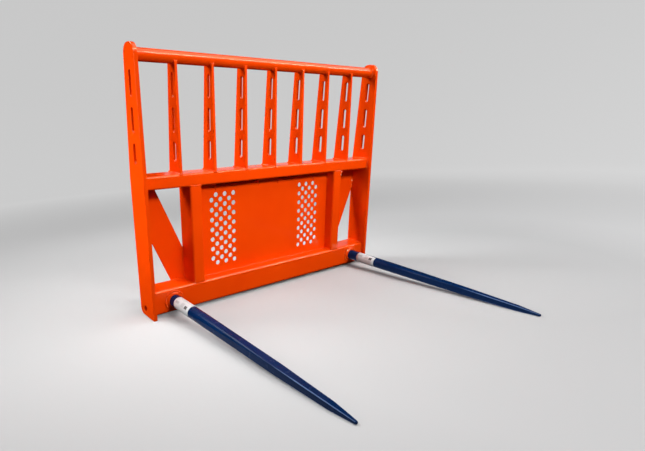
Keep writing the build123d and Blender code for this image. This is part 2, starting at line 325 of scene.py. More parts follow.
class SpearSettings(bpy.types.PropertyGroup):
    """All settings of the bale spear."""

    edges: PointerProperty(type=EdgeSettings)
    welds: PointerProperty(type=WeldSettings)
    thread: PointerProperty(type=ThreadSettings)
    finish: PointerProperty(type=FinishSettings)
    stage: PointerProperty(type=StageSettings)


def settings():
    """The settings kept with the scene."""
    return bpy.context.scene.bale_spear


def node_names(*starts):
    """Names of the solids that begin with one of these words."""
    return sorted(name for name in frame["nodes"] if name.startswith(starts))


def link(name, data):
    """A new object in the scene, at the origin."""
    thing = bpy.data.objects.new(name, data)
    bpy.context.scene.collection.objects.link(thing)
    return thing


def plain_mesh(maker):
    """The maker's finished mesh, without its modifiers. The maker is removed."""
    depsgraph = bpy.context.evaluated_depsgraph_get()
    mesh = bpy.data.meshes.new_from_object(maker.evaluated_get(depsgraph), depsgraph=depsgraph)
    bpy.data.objects.remove(maker)
    return mesh


def add_piece(name, mesh, slot, *nodes):
    """Put a finished mesh on the part, in the finish of its slot, in place of the named solids."""
    mesh.materials.clear()
    mesh.materials.append(finish(slot))
    piece = link(name, mesh)
    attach(piece, BODY)
    if nodes:
        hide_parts(*nodes)
    return piece


def add_node(tree, kind, inputs, **options):
    """A new node with some of its options, and inputs that are linked to an output or set."""
    node = tree.nodes.new(kind)
    for name, value in options.items():
        setattr(node, name, value)
    for name, value in inputs.items():
        if isinstance(value, bpy.types.NodeSocket):
            tree.links.new(value, node.inputs[name])
        else:
            node.inputs[name].default_value = value
    return node


# Finishes

class Finish:
    """A material whose nodes read the piece's own coordinates."""

    def __init__(self, name):
        self.material = bpy.data.materials.new(name)
        self.material.use_nodes = True
        self.tree = self.material.node_tree
        self.tree.nodes.clear()
        self.shader = self.node("ShaderNodeBsdfPrincipled", {})
        self.node("ShaderNodeOutputMaterial", {"Surface": self.shader.outputs["BSDF"]})
        self.place = self.node("ShaderNodeTexCoord", {}).outputs["Object"]

    def node(self, kind, inputs, **options):
        """A new node of the material."""
        return add_node(self.tree, kind, inputs, **options)

    def join(self, source, target):
        """Link an output to an input."""
        self.tree.links.new(source, target)

    def noise(self, scale, detail=2.0):
        """Noise between 0 and 1, with this many grains to the metre."""
        noise = self.node("ShaderNodeTexNoise", {"Vector": self.place, "Scale": scale, "Detail": detail})
        return noise.outputs["Fac"]

    def spread(self, value, low, high, start=0.35, end=0.65):
        """Spread a value between start and end over the range low to high."""
        spread = self.node("ShaderNodeMapRange", {
            "Value": value, "From Min": start, "From Max": end, "To Min": low, "To Max": high,
        })
        return spread.outputs["Result"]

    def blend(self, share, first, second):
        """Mix two colours, each given as a colour or an output."""
        mix = self.node("ShaderNodeMix", {"Factor": share}, data_type="RGBA")
        inputs = [socket for socket in mix.inputs if socket.type == "RGBA"]
        for socket, colour in zip(inputs, (first, second)):
            if isinstance(colour, bpy.types.NodeSocket):
                self.join(colour, socket)
            else:
                socket.default_value = (*colour, 1.0)
        return next(socket for socket in mix.outputs if socket.type == "RGBA")

    def colour(self, output):
        """Use an output as the base colour."""
        self.join(output, self.shader.inputs["Base Color"])

    def roughness(self, output):
        """Use an output as the roughness."""
        self.join(output, self.shader.inputs["Roughness"])

    def bump(self, height, distance, strength):
        """Raise the surface by a height pattern."""
        bump = self.node("ShaderNodeBump", {"Height": height, "Distance": distance, "Strength": strength})
        self.join(bump.outputs["Normal"], self.shader.inputs["Normal"])


def frame_paint():
    """Glossy powder coat: slow tone drift, faint orange peel and warm reflections."""
    colours = settings().finish
    paint = Finish("frame_paint_coat")
    drift = paint.spread(paint.noise(scale=5.0), low=0.0, high=1.0)
    paint.colour(paint.blend(drift, tuple(colours.frame_paint), tuple(colours.frame_paint_deep)))
    paint.roughness(paint.spread(paint.noise(scale=28.0, detail=3.0), low=0.10, high=0.17))
    paint.bump(paint.noise(scale=420.0), distance=0.0004, strength=0.06)
    paint.shader.inputs["Specular IOR Level"].default_value = 0.45
    paint.shader.inputs["Specular Tint"].default_value = (*colours.frame_sheen, 1.0)
    return paint.material


def tine_paint():
    """Satin enamel over forged steel, with a painted highlight in pale blue where the mesh marks an arris.
    """
    colours = settings().finish
    paint = Finish("tine_paint_coat")
    drift = paint.spread(paint.noise(scale=9.0, detail=4.0), low=0.0, high=1.0)
    enamel = paint.blend(drift, tuple(colours.tine_paint), tuple(colours.tine_paint_pale))
    # Mask of the painted highlight on the arrises, made with the tine's mesh
    arris = paint.node("ShaderNodeAttribute", {}, attribute_name="Arris").outputs["Fac"]
    paint.colour(paint.blend(arris, enamel, tuple(colours.tine_arris_highlight)))
    paint.roughness(paint.spread(paint.noise(scale=45.0, detail=3.0), low=0.18, high=0.28))
    paint.bump(paint.noise(scale=160.0, detail=4.0), distance=0.0004, strength=0.06)
    paint.shader.inputs["Specular IOR Level"].default_value = 0.06
    return paint.material


def zinc_plate():
    """Dull bright plating with a cloudy tone."""
    colours = settings().finish
    plate = Finish("zinc_plate_coat")
    cloud = plate.spread(plate.noise(scale=70.0, detail=4.0), low=0.0, high=1.0)
    plate.colour(plate.blend(cloud, tuple(colours.zinc), tuple(colours.zinc_dull)))
    plate.roughness(plate.spread(plate.noise(scale=140.0, detail=3.0), low=0.28, high=0.46))
    plate.bump(plate.noise(scale=900.0), distance=0.0002, strength=0.12)
    plate.shader.inputs["Metallic"].default_value = 1.0
    return plate.material


def label_wrap():
    """White film with plain grey fields, laid out on the label's own map."""
    colours = settings().finish
    film = Finish("label_wrap_coat")
    own_map = film.node("ShaderNodeUVMap", {}, uv_map="Wrap")
    wrap = film.node("ShaderNodeSeparateXYZ", {"Vector": own_map.outputs["UV"]})
    tone = tuple(colours.label)
    for around, along, grey in LABEL_FIELDS:
        halves = []
        for axis, (low, high) in (("X", around), ("Y", along)):
            within = {0: wrap.outputs[axis], 1: (low + high) / 2, 2: (high - low) / 2}
            halves.append(film.node("ShaderNodeMath", within, operation="COMPARE").outputs["Value"])
        inside = film.node("ShaderNodeMath", dict(enumerate(halves)), operation="MULTIPLY")
        tone = film.blend(inside.outputs["Value"], tone, (grey, grey, grey))
    film.colour(tone)
    film.roughness(film.spread(film.noise(scale=60.0), low=0.30, high=0.42))
    film.bump(film.noise(scale=90.0, detail=3.0), distance=0.0003, strength=0.12)
    return film.material


def studio_paper():
    """Matt pale paper that takes the wall's colour and glows more away from the part."""
    stage = settings().stage
    paper = Finish("studio_paper")
    reach = paper.node("ShaderNodeVectorMath", {0: paper.place, 1: PAPER_CENTRE}, operation="DISTANCE")
    fade_start, fade_end = [share * stage.floor_radius for share in PAPER_FADE]
    fade = paper.spread(reach.outputs["Value"], 0.0, 1.0, fade_start, fade_end)
    paper.colour(paper.blend(fade, tuple(stage.floor), tuple(stage.wall)))
    glow_start, glow_end = [share * stage.floor_radius for share in PAPER_GLOW]
    glow = paper.spread(reach.outputs["Value"], 0.0, stage.glow, glow_start, glow_end)
    paper.join(glow, paper.shader.inputs["Emission Strength"])
    paper.shader.inputs["Roughness"].default_value = 0.9
    paper.shader.inputs["Specular IOR Level"].default_value = 0.0
    paper.shader.inputs["Emission Color"].default_value = (1.0, 1.0, 1.0, 1.0)
    return paper.material


FINISHES = {
    "frame_paint": frame_paint,
    "tine_paint": tine_paint,
    "zinc_plate": zinc_plate,
    "label_wrap": label_wrap,
}


def finish(slot):
    """The material of a slot, made the first time it is asked for."""
    return bpy.data.materials.get(f"{slot}_coat") or FINISHES[slot]()


# Worked solids

def merged_copy(node):
    """A solid's mesh as one closed surface with whole flat faces."""
    shape = bmesh.new()
    shape.from_mesh(frame["nodes"][node].data)
    bmesh.ops.remove_doubles(shape, verts=shape.verts, dist=MERGE_DISTANCE)
    bmesh.ops.dissolve_limit(
        shape, angle_limit=FLAT_ANGLE, verts=shape.verts, edges=shape.edges, use_dissolve_boundaries=False
    )
    mesh = bpy.data.meshes.new(node)
    shape.to_mesh(mesh)
    shape.free()
    mesh.shade_smooth()
    return mesh


def eased_mesh(node, width):
    """A copy of a solid with its sharp edges rounded and even shading on its flats."""
    edges = settings().edges
    maker = link(f"{node}_maker", merged_copy(node))
    bevel = maker.modifiers.new("Eased edges", "BEVEL")
    bevel.width = width
    bevel.segments = edges.steps
    bevel.limit_method = "ANGLE"
    bevel.angle_limit = edges.crease
    bevel.use_clamp_overlap = False
    shading = maker.modifiers.new("Even shading", "WEIGHTED_NORMAL")
    shading.keep_sharp = False
    return plain_mesh(maker)


def ease_nodes(nodes, width, slot):
    """Replace solids by copies with eased edges."""
    if not nodes:
        raise RuntimeError("The frame holds none of these pieces")
    for node in nodes:
        add_piece(f"{node}_finished", eased_mesh(node, width), slot, node)


# Node trees

def new_tree(name, sockets):
    """A geometry tree with named inputs, given as (name, kind) pairs, and a geometry output."""
    tree = bpy.data.node_groups.new(name, "GeometryNodeTree")
    tree.interface.new_socket("Geometry", in_out="INPUT", socket_type="NodeSocketGeometry")
    for label, kind in sockets:
        tree.interface.new_socket(label, in_out="INPUT", socket_type=kind)
    tree.interface.new_socket("Geometry", in_out="OUTPUT", socket_type="NodeSocketGeometry")
    return tree


def close_tree(tree, geometry, material):
    """End a tree: real geometry, its finish, and the output."""
    real = add_node(tree, "GeometryNodeRealizeInstances", {"Geometry": geometry})
    painted = add_node(tree, "GeometryNodeSetMaterial", {
        "Geometry": real.outputs["Geometry"], "Material": material,
    })
    add_node(tree, "NodeGroupOutput", {"Geometry": painted.outputs["Geometry"]})


def run_tree(name, mesh, tree, values):
    """The mesh that a tree makes from a starting mesh, with its inputs set by socket."""
    maker = link(f"{name}_maker", mesh)
    modifier = maker.modifiers.new(tree.name, "NODES")
    modifier.node_group = tree
    for item in tree.interface.items_tree:
        if item.in_out == "INPUT" and item.name in values:
            modifier[item.identifier] = values[item.name]
    return plain_mesh(maker)


def weld_tree():
    """Ripples laid one over the other along seams."""
    tree = bpy.data.node_groups.get("Weld bead")
    if tree:
        return tree
    tree = new_tree("Weld bead", (
        ("Bead radius", "NodeSocketFloat"),
        ("Ripple length", "NodeSocketFloat"),
        ("Ripple pitch", "NodeSocketFloat"),
        ("Variation", "NodeSocketFloat"),
        ("Seed", "NodeSocketInt"),
        ("Paint", "NodeSocketMaterial"),
    ))
    given = tree.nodes.new("NodeGroupInput").outputs
    seams = add_node(tree, "GeometryNodeMeshToCurve", {"Mesh": given["Geometry"]})
    points = add_node(tree, "GeometryNodeCurveToPoints", {
        "Curve": seams.outputs["Curve"], "Length": given["Ripple pitch"],
    }, mode="LENGTH")
    along = add_node(tree, "FunctionNodeAlignRotationToVector", {
        "Vector": points.outputs["Tangent"],
    }, axis="X")
    chance = add_node(tree, "FunctionNodeRandomValue", {"Seed": given["Seed"]}, data_type="FLOAT")
    limits = [socket for socket in chance.inputs if socket.type == "VALUE"]
    for operation, limit in zip(("SUBTRACT", "ADD"), limits):
        share = add_node(tree, "ShaderNodeMath", {0: 1.0, 1: given["Variation"]}, operation=operation)
        tree.links.new(share.outputs["Value"], limit)
    size = add_node(tree, "ShaderNodeCombineXYZ", {
        "X": given["Ripple length"], "Y": given["Bead radius"], "Z": given["Bead radius"],
    })
    varied = add_node(tree, "ShaderNodeVectorMath", {
        0: size.outputs["Vector"], "Scale": next(out for out in chance.outputs if out.type == "VALUE"),
    }, operation="SCALE")
    ripple = add_node(tree, "GeometryNodeMeshIcoSphere", {"Radius": 1.0, "Subdivisions": 2})
    smooth = add_node(tree, "GeometryNodeSetShadeSmooth", {"Geometry": ripple.outputs["Mesh"]})
    copies = add_node(tree, "GeometryNodeInstanceOnPoints", {
        "Points": points.outputs["Points"],
        "Instance": smooth.outputs["Geometry"],
        "Rotation": along.outputs["Rotation"],
        "Scale": varied.outputs["Vector"],
    })
    close_tree(tree, copies.outputs["Instances"], given["Paint"])
    return tree


def thread_tree():
    """A helical ridge wound round an axis that points backwards."""
    tree = bpy.data.node_groups.get("Thread")
    if tree:
        return tree
    tree = new_tree("Thread", (
        ("Radius", "NodeSocketFloat"),
        ("Depth", "NodeSocketFloat"),
        ("Length", "NodeSocketFloat"),
        ("Turns", "NodeSocketFloat"),
        ("Place", "NodeSocketVector"),
        ("Paint", "NodeSocketMaterial"),
    ))
    given = tree.nodes.new("NodeGroupInput").outputs
    helix = add_node(tree, "GeometryNodeCurveSpiral", {
        "Resolution": 40,
        "Rotations": given["Turns"],
        "Start Radius": given["Radius"],
        "End Radius": given["Radius"],
        "Height": given["Length"],
    })
    crest = add_node(tree, "GeometryNodeCurvePrimitiveCircle", {"Resolution": 6, "Radius": given["Depth"]})
    ridge = add_node(tree, "GeometryNodeCurveToMesh", {
        "Curve": helix.outputs["Curve"], "Profile Curve": crest.outputs["Curve"], "Fill Caps": True,
    })
    smooth = add_node(tree, "GeometryNodeSetShadeSmooth", {"Geometry": ridge.outputs["Mesh"]})
    turn = add_node(tree, "GeometryNodeTransform", {
        "Geometry": smooth.outputs["Geometry"],
        "Translation": given["Place"],
        "Rotation": (math.radians(-90.0), 0.0, 0.0),
    })
    close_tree(tree, turn.outputs["Geometry"], given["Paint"])
    return tree


# Seams: each is a list of points and whether it closes on itself

def run(*points):
    """An open seam through points."""
    return [Vector(point) for point in points], False


def ring(centre, radius, first, second, steps=48):
    """A round seam in the plane of two unit directions."""
    turns = [2 * math.pi * step / steps for step in range(steps)]
    centre = Vector(centre)
    points = [centre + radius * (math.cos(t) * Vector(first) + math.sin(t) * Vector(second)) for t in turns]
    return points, True


def arc(centre, radius, start, end, steps=16):
    """A seam round part of a circle across X, with angles in degrees from +Y towards +Z."""
    points = []
    for step in range(steps + 1):
        turn = math.radians(start + (end - start) * step / steps)
        points.append(Vector(centre) + radius * Vector((0.0, math.cos(turn), math.sin(turn))))
    return points, False


def section_loop(x, low, high, corner):
    """A seam round a hollow section's end, between two corners given as (y, z)."""
    points = []
    centres = (
        (high[0] - corner, high[1] - corner, 0), (low[0] + corner, high[1] - corner, 90),
        (low[0] + corner, low[1] + corner, 180), (high[0] - corner, low[1] + corner, 270),
    )
    for y, z, start in centres:
        points += arc((x, y, z), corner, start, start + 90, steps=6)[0]
    return points, True


def seam_mesh(name, seams):
    """All seams as loose edges of one mesh."""
    mesh = bpy.data.meshes.new(name)
    points = []
    edges = []
    for line, closed in seams:
        first = len(points)
        points += line
        edges += [(first + step, first + step + 1) for step in range(len(line) - 1)]
        if closed:
            edges.append((len(points) - 1, first))
    mesh.from_pydata(points, edges, [])
    return mesh


def add_welds(name, seams, scale):
    """Beads of paint-covered weld along seams."""
    weld = settings().welds
    values = {
        "Bead radius": weld.radius * scale,
        "Ripple length": weld.ripple * scale,
        "Ripple pitch": weld.pitch * scale,
        "Variation": weld.variation,
        "Seed": weld.seed,
        "Paint": finish("frame_paint"),
    }
    mesh = run_tree(name, seam_mesh(name, seams), weld_tree(), values)
    if not mesh.polygons:
        raise RuntimeError(f"No beads were made for {name}")
    add_piece(name, mesh, "frame_paint")


def upright_seams():
    """Along both sides of each upright's foot, and under the rail on both of its faces."""
    rail_low, rail_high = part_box("top_rail")
    rail_radius = (rail_high[2] - rail_low[2]) / 2
    rail_y = (rail_low[1] + rail_high[1]) / 2
    rail_z = (rail_low[2] + rail_high[2]) / 2
    seams = []
    for node in node_names("upright_"):
        low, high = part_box(node)
        drop = math.degrees(math.asin((rail_z - high[2]) / rail_radius))
        for x in (low[0], high[0]):
            seams.append(run((x, low[1] + MID_BEAM_CORNER / 2, low[2]), (x, high[1], low[2])))
            seams.append(arc((x, rail_y, rail_z), rail_radius, 180 + drop, 360 - drop))
    return seams


def toe_seams():
    """Across the front and back of each upright's foot, filling the beam's round corner in front."""
    seams = []
    for node in node_names("upright_"):
        low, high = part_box(node)
        fill = MID_BEAM_CORNER * TOE_FILL
        for y, z in ((low[1] + fill, low[2] - TOE_DROP * fill), (high[1], low[2])):
            seams.append(run((low[0], y, z), (high[0], y, z)))
    return seams


def beam_seams():
    """Round the ends of both beams, on the side plates."""
    seams = []
    for node, corner in (("bottom_beam", BOTTOM_BEAM_CORNER), ("mid_beam", MID_BEAM_CORNER)):
        low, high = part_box(node)
        for x in (low[0], high[0]):
            seams.append(section_loop(x, (low[1], low[2]), (high[1], high[2]), corner))
    return seams


def rail_seams():
    """Round both ends of the top rail, on the side plates."""
    low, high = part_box("top_rail")
    middle = [(a + b) / 2 for a, b in zip(low, high)]
    radius = (high[2] - low[2]) / 2
    return [ring((x, middle[1], middle[2]), radius, (0, 1, 0), (0, 0, 1)) for x in (low[0], high[0])]


def post_seams():
    """Round the top and foot of each post, where it meets the beams."""
    corner = POST_CORNER
    seams = []
    for node in node_names("inner_post_"):
        low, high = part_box(node)
        left = low[0] + corner / 2
        right = high[0] - corner / 2
        for z, sunk in ((low[2], low[2] - POST_BEAD_SINK), (high[2], high[2] + POST_BEAD_SINK)):
            for x in (low[0], high[0]):
                seams.append(run((x, low[1] + corner, z), (x, high[1] - corner, z)))
            for y in (low[1] + corner / 2, high[1] - corner / 2):
                seams.append(run((left, y, sunk), (right, y, sunk)))
    return seams


def panel_seams():
    """A run along the panel's foot, stitches down its sides and on its tabs, and its flaps' closed ends."""
    low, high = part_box("centre_panel")
    front = low[1]
    seams = []
    for x in (low[0], high[0]):
        for share in STITCH_SHARES:
            z = low[2] + share * (high[2] - low[2])
            seams.append(run((x, front, z - STITCH_LENGTH / 2), (x, front, z + STITCH_LENGTH / 2)))
    seams.append(run((low[0], front, low[2]), (high[0], front, low[2])))
    for x in (low[0] + STITCH_LENGTH, 0.0, high[0] - STITCH_LENGTH):
        seams.append(run((x - STITCH_LENGTH / 2, front, high[2]), (x + STITCH_LENGTH / 2, front, high[2])))
    for end in FLAP_ENDS:
        for x in (-end, end):
            seams.append(run((x, front, high[2] - FLAP_FOOT), (x, front, high[2] - FLAP_GAP)))
            for layer in range(FLAP_LAYERS):
                z = high[2] - FLAP_GAP * (layer + 0.5) / FLAP_LAYERS
                seams.append(run((x, front, z), (x, front + FLAP_DEPTH, z)))
    return seams


def brace_seams():
    """Along the front edges of each brace, on the plate, the post and the beams."""
    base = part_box("bottom_beam")[1][2]
    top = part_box("mid_beam")[0][2]
    seams = []
    for side in SIDES:
        facing = 1 if side == "left" else 0
        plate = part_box(f"side_plate_{side}")[facing][0]
        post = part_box(f"inner_post_{side}")[1 - facing][0]
        brace = frame["nodes"][f"brace_{side}"]
        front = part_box(f"brace_{side}")[0][1]
        points = [vertex.co for vertex in brace.data.vertices if abs(vertex.co.y - front) < ON_PLANE]
        for across, along, plane in ((0, 2, plate), (0, 2, post), (2, 0, base), (2, 0, top)):
            reach = [point[along] for point in points if abs(point[across] - plane) < ON_COPE]
            ends = []
            for value in (min(reach), max(reach)):
                end = [0.0, front, 0.0]
                end[across] = plane
                end[along] = value
                ends.append(end)
            seams.append(run(*ends))
    return seams


def socket_seams():
    """Round each socket's collar, on the front of the bottom beam."""
    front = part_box("bottom_beam")[0][1]
    seams = []
    for node in node_names("tine_socket_"):
        low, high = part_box(node)
        centre = ((low[0] + high[0]) / 2, front, (low[2] + high[2]) / 2)
        collar = (high[0] - low[0]) / 2
        seams.append(ring(centre, collar - COLLAR_BEAD_INSET, (1, 0, 0), (0, 0, 1), steps=96))
    return seams


# Beads by piece: its seams, and the size of the beads beside the usual size
WELDS = {
    "upright_welds": (upright_seams, 1.0),
    "toe_welds": (toe_seams, 1.35),
    "beam_welds": (beam_seams, 1.0),
    "rail_welds": (rail_seams, 1.5),
    "post_welds": (post_seams, 1.15),
    "panel_welds": (panel_seams, 0.85),
    "brace_welds": (brace_seams, 1.0),
    "socket_welds": (socket_seams, 1.3),
}


# Tines

def along_line(value, stops):
    """Height at a place of a line through (place, height) stops."""
    for (place, height), (next_place, next_height) in zip(stops, stops[1:]):
        if value <= next_place:
            return height + (next_height - height) * (value - place) / (next_place - place)
    return stops[-1][1]


def square_radius(turn, half, rounding):
    """Radius of a rounded square at an angle from the middle of a flat, and whether it is on an arris."""
    turn = abs((turn + math.pi / 4) % (math.pi / 2) - math.pi / 4)
    centre = half - rounding
    if half * math.tan(turn) <= centre:
        return half / math.cos(turn), 0.0
    along = centre * (math.cos(turn) + math.sin(turn))
    return along + math.sqrt(max(0.0, along ** 2 - 2 * centre ** 2 + rounding ** 2)), 1.0


def tine_rings(radius, length, turns):
    """Rings along a tine from its thread to its tip, as a distance and (radius, painted arris highlight)
    pairs.
    """
    behind = (
        (THREAD_END, THREAD_RADIUS - THREAD_CHAMFER), (THREAD_END + THREAD_CHAMFER, THREAD_RADIUS),
        (CONE_END, THREAD_RADIUS), (CONE_END, CONE_END_RADIUS), (CONE_FRONT, radius),
        (FLAT_START / 2, radius),
    )
    rings = [(distance, [(reach, 0.0)] * len(turns)) for distance, reach in behind]
    bar = ((FLAT_START, radius), (ROUND_LENGTH, radius), (length, NOSE_RADIUS))
    halves = ((FLAT_START, radius), (POINT_START, POINT_HALF_WIDTH), (length, TIP_HALF_WIDTH))
    roundings = [(stop[0], rounding) for stop, rounding in zip(halves, ARRIS_RADII)]
    ball = length - TIP_ROUNDING
    flat = POINT_START - FLAT_START
    places = [FLAT_START + flat * (step / FLAT_RINGS) ** FLAT_EASE for step in range(FLAT_RINGS)]
    places += [POINT_START + (ball - POINT_START) * step / POINT_RINGS for step in range(POINT_RINGS)]
    places += [ball + TIP_ROUNDING * math.sin(math.pi / 2 * step / TIP_RINGS) for step in range(TIP_RINGS)]
    for place in places:
        most = along_line(place, bar)
        half = along_line(place, halves)
        rounding = along_line(place, roundings)
        # Share of the painted arris highlight: none while the round bar covers the arris, full once the
        # arris clears it
        clear = most - square_radius(math.pi / 4, half, rounding)[0]
        highlight_share = min(1.0, max(0.0, (clear - ARRIS_HIGHLIGHT_CLEAR[0]) / (ARRIS_HIGHLIGHT_CLEAR[1] - ARRIS_HIGHLIGHT_CLEAR[0])))
        if place > ball:
            most = min(most, math.sqrt(TIP_ROUNDING ** 2 - (place - ball) ** 2))
        reaches = []
        for turn in turns:
            reach, arris = square_radius(turn, half, rounding)
            reaches.append((min(most, reach), arris * highlight_share if reach <= most else 0.0))
        rings.append((place, reaches))
    return rings


def tine_mesh(node, steps=288):
    """A tine as one even grid: thread, cone seat, round bar, four flats and a rounded tip."""
    low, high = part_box(node)
    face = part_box("bottom_beam")[0][1]
    middle = [(a + b) / 2 for a, b in zip(low, high)]
    turns = [2 * math.pi * step / steps for step in range(steps)]
    rings = tine_rings((high[2] - low[2]) / 2, face - low[1], turns)
    shape = bmesh.new()
    back = shape.verts.new((middle[0], face - rings[0][0], middle[2]))
    arrises = [0.0]
    grid = []
    for place, reaches in rings:
        row = []
        for turn, (reach, arris) in zip(turns, reaches):
            x = middle[0] + reach * math.cos(turn)
            z = middle[2] + reach * math.sin(turn)
            row.append(shape.verts.new((x, face - place, z)))
            arrises.append(arris)
        grid.append(row)
    tip = shape.verts.new((middle[0], low[1], middle[2]))
    arrises.append(0.0)
    for step in range(steps):
        after = (step + 1) % steps
        shape.faces.new((back, grid[0][after], grid[0][step]))
        shape.faces.new((tip, grid[-1][step], grid[-1][after]))
        for row, ahead in zip(grid, grid[1:]):
            shape.faces.new((row[step], row[after], ahead[after], ahead[step]))
    bmesh.ops.recalc_face_normals(shape, faces=shape.faces)
    for made in shape.faces:
        made.smooth = True
    for row in grid[:SHARP_RINGS]:
        for step in range(steps):
            shape.edges.get((row[step], row[(step + 1) % steps])).smooth = False
    mesh = bpy.data.meshes.new(node)
    shape.to_mesh(mesh)
    shape.free()
    # Mask of the painted highlight on the arrises, which the tine paint reads
    mesh.attributes.new("Arris", "FLOAT", "POINT").data.foreach_set("value", arrises)
    return mesh


# Labels

def film_span(node, y):
    """Where a label's film starts and ends round the tine at one depth, in turns from underneath."""
    low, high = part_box(node)
    shares = []
    for vertex in frame["nodes"][node].data.vertices:
        if abs(vertex.co.y - y) < ON_PLANE:
            turn = math.atan2(vertex.co.x - (low[0] + high[0]) / 2, (low[2] + high[2]) / 2 - vertex.co.z)
            shares.append(turn / (2 * math.pi) % 1.0)
    shares.sort()
    gaps = [(after - before) % 1.0 for before, after in zip(shares, shares[1:] + shares[:1])]
    seam = max(gaps)
    start = (shares[gaps.index(seam)] + seam + SEAM_LEAD) % 1.0 - SEAM_LEAD
    return start, start + 1.0 - seam


def label_mesh(node, thickness=0.0004, steps=96, lengths=8):
    """A film wrapped round the tine from one edge of the seam to the other, with its own map."""
    low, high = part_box(node)
    outside = (high[0] - low[0]) / 2
    spans = film_span(node, high[1]), film_span(node, low[1])
    shape = bmesh.new()
    layer = shape.loops.layers.uv.verify()
    grid = {}
    for side, radius in enumerate((outside - thickness, outside)):
        for place in range(lengths + 1):
            along = place / lengths
            start, end = [first + (last - first) * along for first, last in zip(*spans)]
            for step in range(steps + 1):
                share = start + (end - start) * step / steps
                angle = 2 * math.pi * share
                x = (low[0] + high[0]) / 2 + radius * math.sin(angle)
                y = high[1] + (low[1] - high[1]) * along
                z = (low[2] + high[2]) / 2 - radius * math.cos(angle)
                grid[side, step, place] = shape.verts.new((x, y, z)), (share, along)

    def face(*keys):
        made = shape.faces.new([grid[key][0] for key in keys])
        for loop, key in zip(made.loops, keys):
            loop[layer].uv = grid[key][1]

    for step in range(steps):
        for place in range(lengths):
            corners = ((step, place), (step + 1, place), (step + 1, place + 1), (step, place + 1))
            face(*[(1, *corner) for corner in corners])
            face(*[(0, *corner) for corner in reversed(corners)])
        for place in (0, lengths):
            face((0, step, place), (0, step + 1, place), (1, step + 1, place), (1, step, place))
    for step in (0, steps):
        for place in range(lengths):
            face((0, step, place), (0, step, place + 1), (1, step, place + 1), (1, step, place))
    bmesh.ops.recalc_face_normals(shape, faces=shape.faces)
    mesh = bpy.data.meshes.new(node)
    shape.to_mesh(mesh)
    shape.free()
    mesh.uv_layers[0].name = "Wrap"
    mesh.shade_smooth()
    return mesh


# Stage

def floor_lean():
    """Angle at which the frame tips forward on its front edges until its tines touch the floor."""
    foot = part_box("side_plate_left")[0][1]
    meshes = [frame["nodes"][f"tine_{side}"].data for side in SIDES]
    points = [vertex.co for mesh in meshes for vertex in mesh.vertices]
    return min(math.atan2(point.z, foot - point.y) for point in points if point.y < foot), foot


def cove_mesh():
    """Round floor whose rim curves up into a wall, leaned to meet the feet and the tines."""
    stage = settings().stage
    profile = [(0.0, 0.0), (stage.floor_radius / 2, 0.0)]
    for step in range(COVE_STEPS + 1):
        turn = math.pi / 2 * step / COVE_STEPS
        reach = stage.floor_radius + stage.cove_radius * math.sin(turn)
        profile.append((reach, stage.cove_radius * (1 - math.cos(turn))))
    profile.append((stage.floor_radius + stage.cove_radius, stage.cove_radius + stage.wall_height))
    shape = bmesh.new()
    line = [shape.verts.new((radius, 0.0, height)) for radius, height in profile]
    edges = [shape.edges.new(pair) for pair in zip(line, line[1:])]
    bmesh.ops.spin(
        shape, geom=line + edges, cent=(0, 0, 0), axis=(0, 0, 1), angle=2 * math.pi, steps=96,
        use_merge=True,
    )
    bmesh.ops.remove_doubles(shape, verts=shape.verts, dist=1e-5)
    bmesh.ops.recalc_face_normals(shape, faces=shape.faces)
    bmesh.ops.reverse_faces(shape, faces=shape.faces)
    lean, foot = floor_lean()
    pivot = Vector((0.0, foot, 0.0))
    turn = Matrix.Translation(pivot) @ Matrix.Rotation(-lean, 4, "X") @ Matrix.Translation(-pivot)
    shape.transform(turn)
    mesh = bpy.data.meshes.new("studio_floor")
    shape.to_mesh(mesh)
    shape.free()
    mesh.shade_smooth()
    return mesh


def add_light(name, power):
    """A soft light from the table of lights."""
    place, target, (width, height), beam = LIGHTS[name]
    lamp = bpy.data.lights.new(f"{name}_light", "AREA")
    lamp.shape = "RECTANGLE"
    lamp.size = width
    lamp.size_y = height
    lamp.spread = math.radians(beam)
    lamp.energy = power
    light = link(f"{name}_light", lamp)
    light.location = place
    light.rotation_euler = (Vector(target) - Vector(place)).to_track_quat("-Z", "Y").to_euler()
    light.visible_camera = False
    light.visible_glossy = name != UNREFLECTED_LIGHT
    light.visible_diffuse = name != REFLECTED_LIGHT
    if name == TINE_LIGHT:
        lit = bpy.data.collections.new("tines")
        for side in SIDES:
            lit.objects.link(bpy.data.objects[f"tine_{side}_finished"])
        light.light_linking.receiver_collection = lit
        light.light_linking.blocker_collection = lit


def add_camera():
    """The camera at the photograph's place, with its focal length and centre."""
    lens = bpy.data.cameras.new("photo_camera")
    lens.sensor_fit = "HORIZONTAL"
    lens.sensor_width = SENSOR_WIDTH
    lens.lens = FOCAL_PIXELS / IMAGE_WIDTH * SENSOR_WIDTH
    lens.shift_x = (IMAGE_WIDTH / 2 - CENTRE_PIXEL[0]) / IMAGE_WIDTH
    lens.shift_y = (CENTRE_PIXEL[1] - IMAGE_HEIGHT / 2) / IMAGE_WIDTH
    camera = link("photo_camera", lens)
    camera.location = Vector(CAMERA_PLACE) + Vector((0.0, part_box("side_plate_left")[0][1], 0.0))
    camera.rotation_euler = Euler([math.radians(turn) for turn in CAMERA_TURN], "XYZ")
    bpy.context.scene.camera = camera


class BALESPEAR_OT_plates(bpy.types.Operator):
    """Side plates, uprights and braces with eased edges"""

    bl_idname = "bale_spear.plates"
    bl_label = "Plates and uprights"

    def execute(self, context):
        ease_nodes(node_names("side_plate_", "upright_", "brace_"), settings().edges.plate, "frame_paint")
        return {"FINISHED"}


class BALESPEAR_OT_sections(bpy.types.Operator):
    """Top rail, beams, posts and tine sockets"""

    bl_idname = "bale_spear.sections"
    bl_label = "Rail, beams and posts"

    def execute(self, context):
        nodes = node_names("top_rail", "mid_beam", "bottom_beam", "inner_post_", "tine_socket_")
        ease_nodes(nodes, settings().edges.section, "frame_paint")
        return {"FINISHED"}


